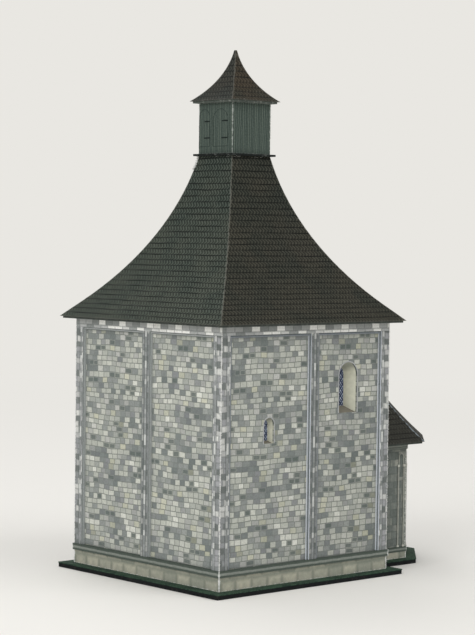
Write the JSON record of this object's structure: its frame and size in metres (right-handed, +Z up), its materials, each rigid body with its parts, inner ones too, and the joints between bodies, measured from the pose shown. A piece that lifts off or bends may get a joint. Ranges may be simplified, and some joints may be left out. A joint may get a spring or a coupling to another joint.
{
  "type": "card model church",
  "caption": "Small card model of a village church: square nave with a concave roof and boarded lantern, an octagonal-ended apse and a card base board.",
  "frame": {"origin": "middle of the nave on the underside of the base board", "axes": "+X east towards the apse, +Y north, +Z up"},
  "size_m": [0.0914, 0.062, 0.1312],
  "materials": {
    "board": "blackened cut edge of grey board",
    "grass": "matt printed card",
    "fields": "matt printed card, small mixed stones",
    "strips": "matt printed card laminated on the walls",
    "plinth": "matt printed card, large blocks",
    "moulding": "matt printed card",
    "reveal": "matt printed card",
    "glazing": "satin printed card",
    "door": "matt printed card",
    "roof_west": "matt printed card, fine shingles",
    "roof_south": "matt printed card, fine shingles",
    "spire": "matt printed card, fine shingles",
    "apse_shingle": "matt printed card, fine shingles",
    "plates": "matt dark card",
    "boards": "matt printed card, upright boards",
    "apse_stone": "matt printed card, stones and tall half columns"
  },
  "bodies": {
    "root": {"base_board": "board", "grass_sheet": "grass", "west_wall": "fields", "south_wall": "fields", "east_wall": "fields", "north_wall": "fields", "west_frame": "strips", "south_frame": "strips", "east_frame": "strips", "north_frame": "strips", "portal_rim": "strips", "west_plinth": "plinth", "south_plinth": "plinth", "east_plinth": "plinth", "north_plinth": "plinth", "apse_plinth": "plinth", "west_moulding": "moulding", "south_moulding": "moulding", "east_moulding": "moulding", "north_moulding": "moulding", "apse_moulding": "moulding", "apse_cornice": "moulding", "south_window_reveal": "reveal", "north_window_reveal": "reveal", "south_slit_reveal": "reveal", "north_slit_reveal": "reveal", "south_glazing": "glazing", "north_glazing": "glazing", "portal_door": "door", "west_roof": "roof_west", "north_roof": "roof_west", "south_roof": "roof_south", "east_roof": "roof_south", "west_spire": "spire", "south_spire": "spire", "east_spire": "spire", "north_spire": "spire", "apse_roof": "apse_shingle", "roof_plate": "plates", "lantern_ceiling": "plates", "apse_roof_plate": "plates", "lantern_floor": "plates", "lantern_walls": "boards", "apse_wall": "apse_stone"}
  },
  "joints": []
}
